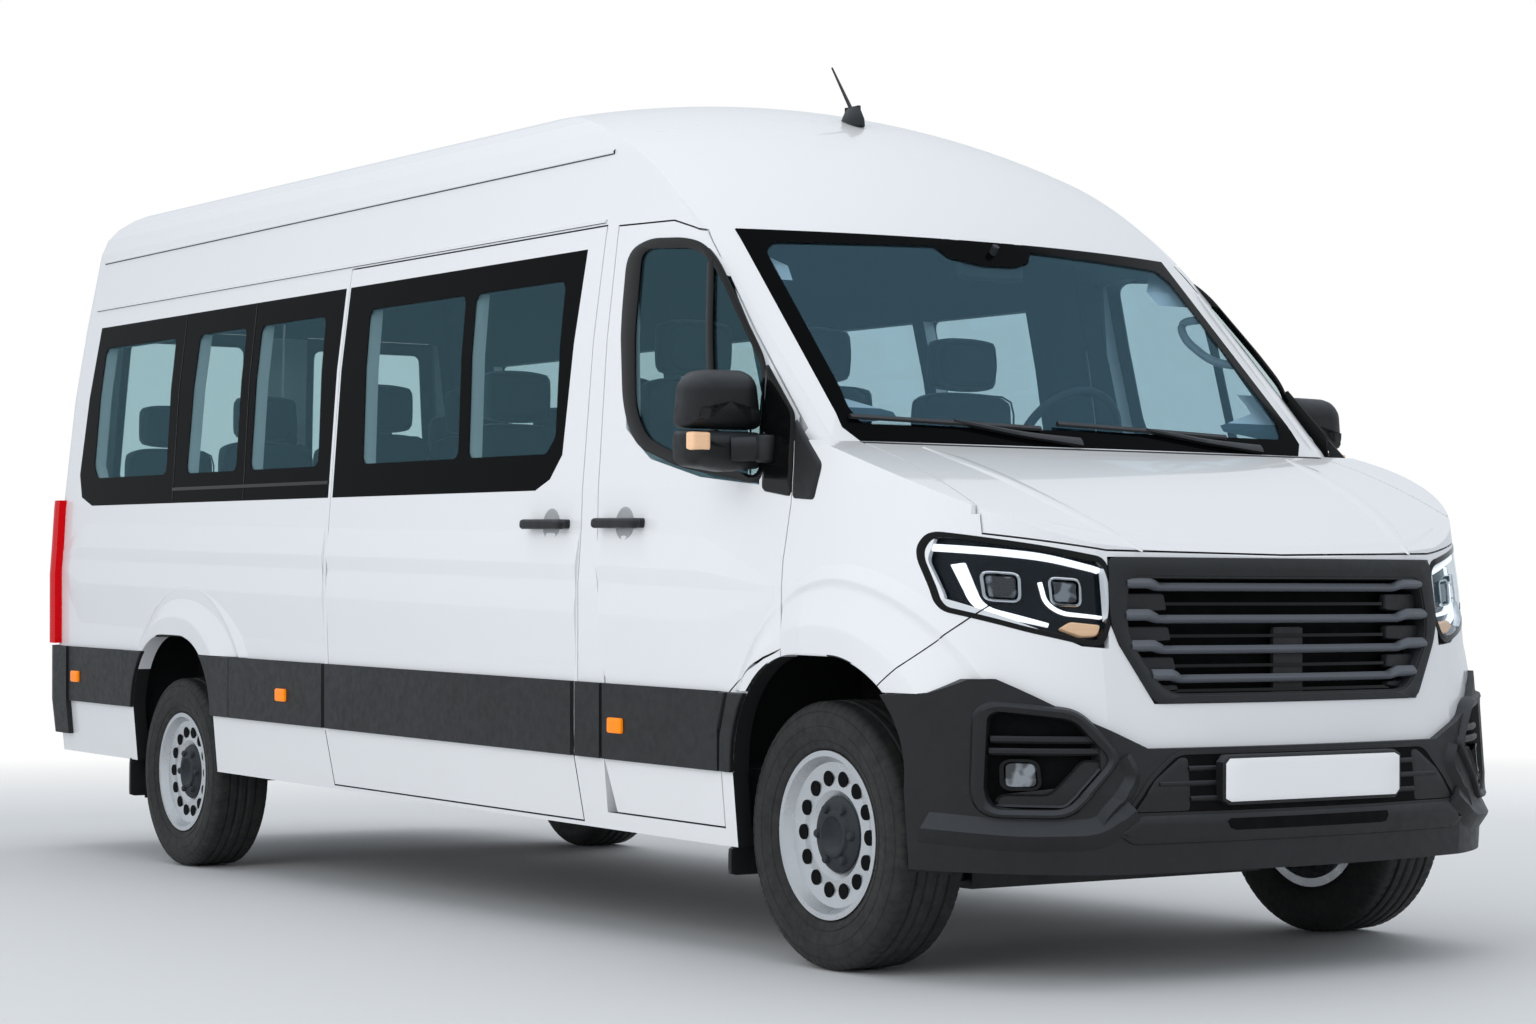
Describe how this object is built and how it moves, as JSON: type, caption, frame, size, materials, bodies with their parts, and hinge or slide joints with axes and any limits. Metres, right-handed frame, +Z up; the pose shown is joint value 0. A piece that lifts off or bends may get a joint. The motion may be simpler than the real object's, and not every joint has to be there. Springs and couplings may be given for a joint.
{
  "type": "minibus",
  "caption": "Long high-roof passenger minibus with hinged front and rear doors, opening bonnet, seats, steering and rolling wheels.",
  "frame": {"origin": "on the ground, mid-width and mid-length of the vehicle", "axes": "+X to the vehicle's left, -Y towards its nose, +Z up"},
  "size_m": [2.41, 6.5192, 2.6878],
  "materials": {
    "white_paint": "gloss",
    "tinted_glass": "gloss",
    "screen_glass": "gloss",
    "dark_plastic": "matte",
    "lamp_clear": "gloss",
    "lamp_red": "gloss",
    "plate_white": "satin",
    "black_steel": "satin",
    "cast_metal": "matte",
    "seat_cloth": "matte",
    "wheel_steel": "satin",
    "rubber": "matte"
  },
  "bodies": {
    "body": {"aerial": "black_steel", "bulkhead": "black_steel", "cab_roof": "white_paint", "cowl": "dark_plastic", "dashboard": "dark_plastic", "engine": "cast_metal", "floor": "black_steel", "front_bumper": "dark_plastic", "front_suspension": "black_steel", "front_wings": "white_paint", "fuel_tank": "black_steel", "grille": "dark_plastic", "headlamps": "lamp_clear", "headrests": "seat_cloth", "main_roof": "white_paint", "mud_flaps": "dark_plastic", "nose_panel": "white_paint", "number_plate": "plate_white", "rear_axle": "black_steel", "rear_bumper": "dark_plastic", "seat_backs": "seat_cloth", "seat_cushions": "seat_cloth", "seat_frames": "black_steel", "side_mouldings": "dark_plastic", "side_panel_left": "white_paint", "side_panel_right": "white_paint", "side_windows": "tinted_glass", "sliding_door": "white_paint", "tail_lamps": "lamp_red", "windscreen": "screen_glass", "windscreen_pillars": "white_paint", "wipers": "black_steel"},
    "front_door_right": {"front_door_right": "white_paint", "front_door_glass_right": "tinted_glass", "door_moulding_right": "dark_plastic", "mirror_right": "dark_plastic"},
    "front_door_left": {"front_door_left": "white_paint", "front_door_glass_left": "tinted_glass", "door_moulding_left": "dark_plastic", "mirror_left": "dark_plastic"},
    "rear_door_right": {"rear_door_right": "white_paint", "rear_glass_right": "tinted_glass"},
    "rear_door_left": {"rear_door_left": "white_paint", "rear_glass_left": "tinted_glass"},
    "bonnet_lid": {"bonnet": "white_paint"},
    "knuckle_right": {"knuckle_right": "black_steel"},
    "knuckle_left": {"knuckle_left": "black_steel"},
    "wheel_front_right": {"tyre_front_right": "rubber", "rim_front_right": "wheel_steel"},
    "wheel_front_left": {"tyre_front_left": "rubber", "rim_front_left": "wheel_steel"},
    "wheel_rear_right": {"tyre_rear_right": "rubber", "rim_rear_right": "wheel_steel"},
    "wheel_rear_left": {"tyre_rear_left": "rubber", "rim_rear_left": "wheel_steel"},
    "steering": {"steering_wheel": "dark_plastic"}
  },
  "joints": [
    {"name": "front_door_right_swing", "type": "hinge", "parent": "body", "child": "front_door_right", "pos_m": [-1, -2.26295, 0.9033], "axis": [0, -0.0201, 0.9998], "range_deg": [0, 70]},
    {"name": "front_door_left_swing", "type": "hinge", "parent": "body", "child": "front_door_left", "pos_m": [1, -2.26295, 0.9033], "axis": [0, 0.0201, -0.9998], "range_deg": [0, 70]},
    {"name": "rear_door_right_swing", "type": "hinge", "parent": "body", "child": "rear_door_right", "pos_m": [-0.882, 3.15993, 1.31222], "axis": [0, -0.0201, 0.9998], "range_deg": [0, 180]},
    {"name": "rear_door_left_swing", "type": "hinge", "parent": "body", "child": "rear_door_left", "pos_m": [0.882, 3.15993, 1.31222], "axis": [0, 0.0201, -0.9998], "range_deg": [0, 180]},
    {"name": "bonnet_lift", "type": "hinge", "parent": "body", "child": "bonnet_lid", "pos_m": [0, -2.43329, 1.39198], "axis": [-1, 0, 0], "range_deg": [0, 50]},
    {"name": "steer_left", "type": "hinge", "parent": "body", "child": "knuckle_left", "pos_m": [0.79, -2.422, 0.356], "axis": [0, 0, 1], "range_deg": [-35, 35]},
    {"name": "steer_right", "type": "hinge", "parent": "body", "child": "knuckle_right", "pos_m": [-0.79, -2.422, 0.356], "axis": [0, 0, 1], "range_deg": [-35, 35]},
    {"name": "steering_wheel_turn", "type": "hinge", "parent": "body", "child": "steering", "pos_m": [0.43, -1.75369, 1.44363], "axis": [0, 0.8733, 0.4871], "range_deg": [-490, 490]},
    {"name": "spin_front_left", "type": "hinge", "parent": "knuckle_left", "child": "wheel_front_left", "pos_m": [0.86, -2.422, 0.356], "axis": [1, 0, 0], "continuous": true},
    {"name": "spin_front_right", "type": "hinge", "parent": "knuckle_right", "child": "wheel_front_right", "pos_m": [-0.86, -2.422, 0.356], "axis": [1, 0, 0], "continuous": true},
    {"name": "spin_rear_left", "type": "hinge", "parent": "body", "child": "wheel_rear_left", "pos_m": [0.86, 1.878, 0.356], "axis": [1, 0, 0], "continuous": true},
    {"name": "spin_rear_right", "type": "hinge", "parent": "body", "child": "wheel_rear_right", "pos_m": [-0.86, 1.878, 0.356], "axis": [1, 0, 0], "continuous": true}
  ],
  "couplings": [
    {"joint": "steer_right", "follows": "steer_left", "ratio": 1},
    {"joint": "steering_wheel_turn", "follows": "steer_left", "ratio": 14}
  ]
}
